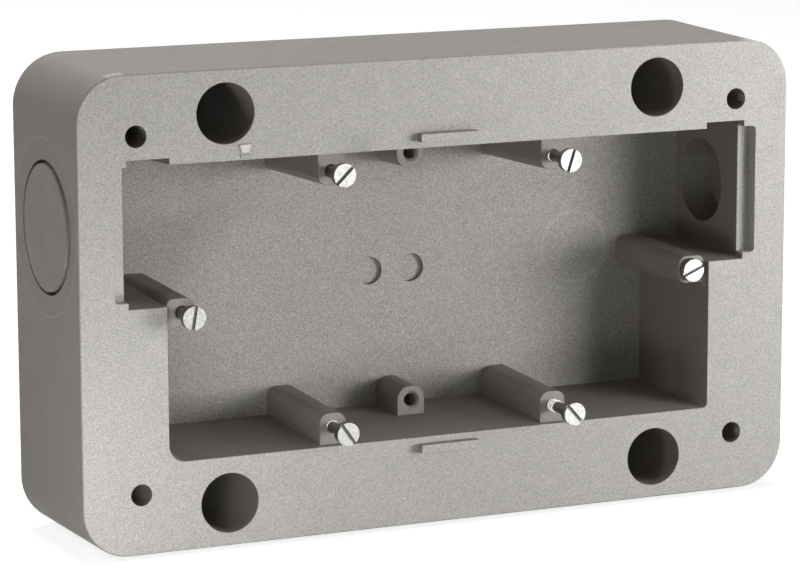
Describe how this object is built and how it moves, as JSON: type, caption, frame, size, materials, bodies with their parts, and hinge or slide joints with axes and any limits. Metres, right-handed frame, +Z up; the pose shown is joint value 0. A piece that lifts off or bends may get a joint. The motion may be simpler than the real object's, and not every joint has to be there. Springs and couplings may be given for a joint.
{
  "type": "surface mount back box",
  "caption": "Shallow grey plastic back box with an open front, screw posts in the cavity, side cable entries and deep wall-fixing bores.",
  "frame": {"origin": "middle of the back, on the wall plane, between the four wall-fixing holes", "axes": "+X to the right seen from the front, +Z up, -Y out of the open front, +Y into the wall"},
  "size_m": [0.1828, 0.0517, 0.112],
  "materials": {
    "housing": "fine sand texture, light warm grey",
    "screw": "bright zinc plated"
  },
  "bodies": {
    "root": {"housing": "housing", "screw_upper_left": "screw", "screw_upper_right": "screw", "screw_middle_left": "screw", "screw_middle_right": "screw", "screw_lower_left": "screw", "screw_lower_right": "screw"}
  },
  "joints": []
}
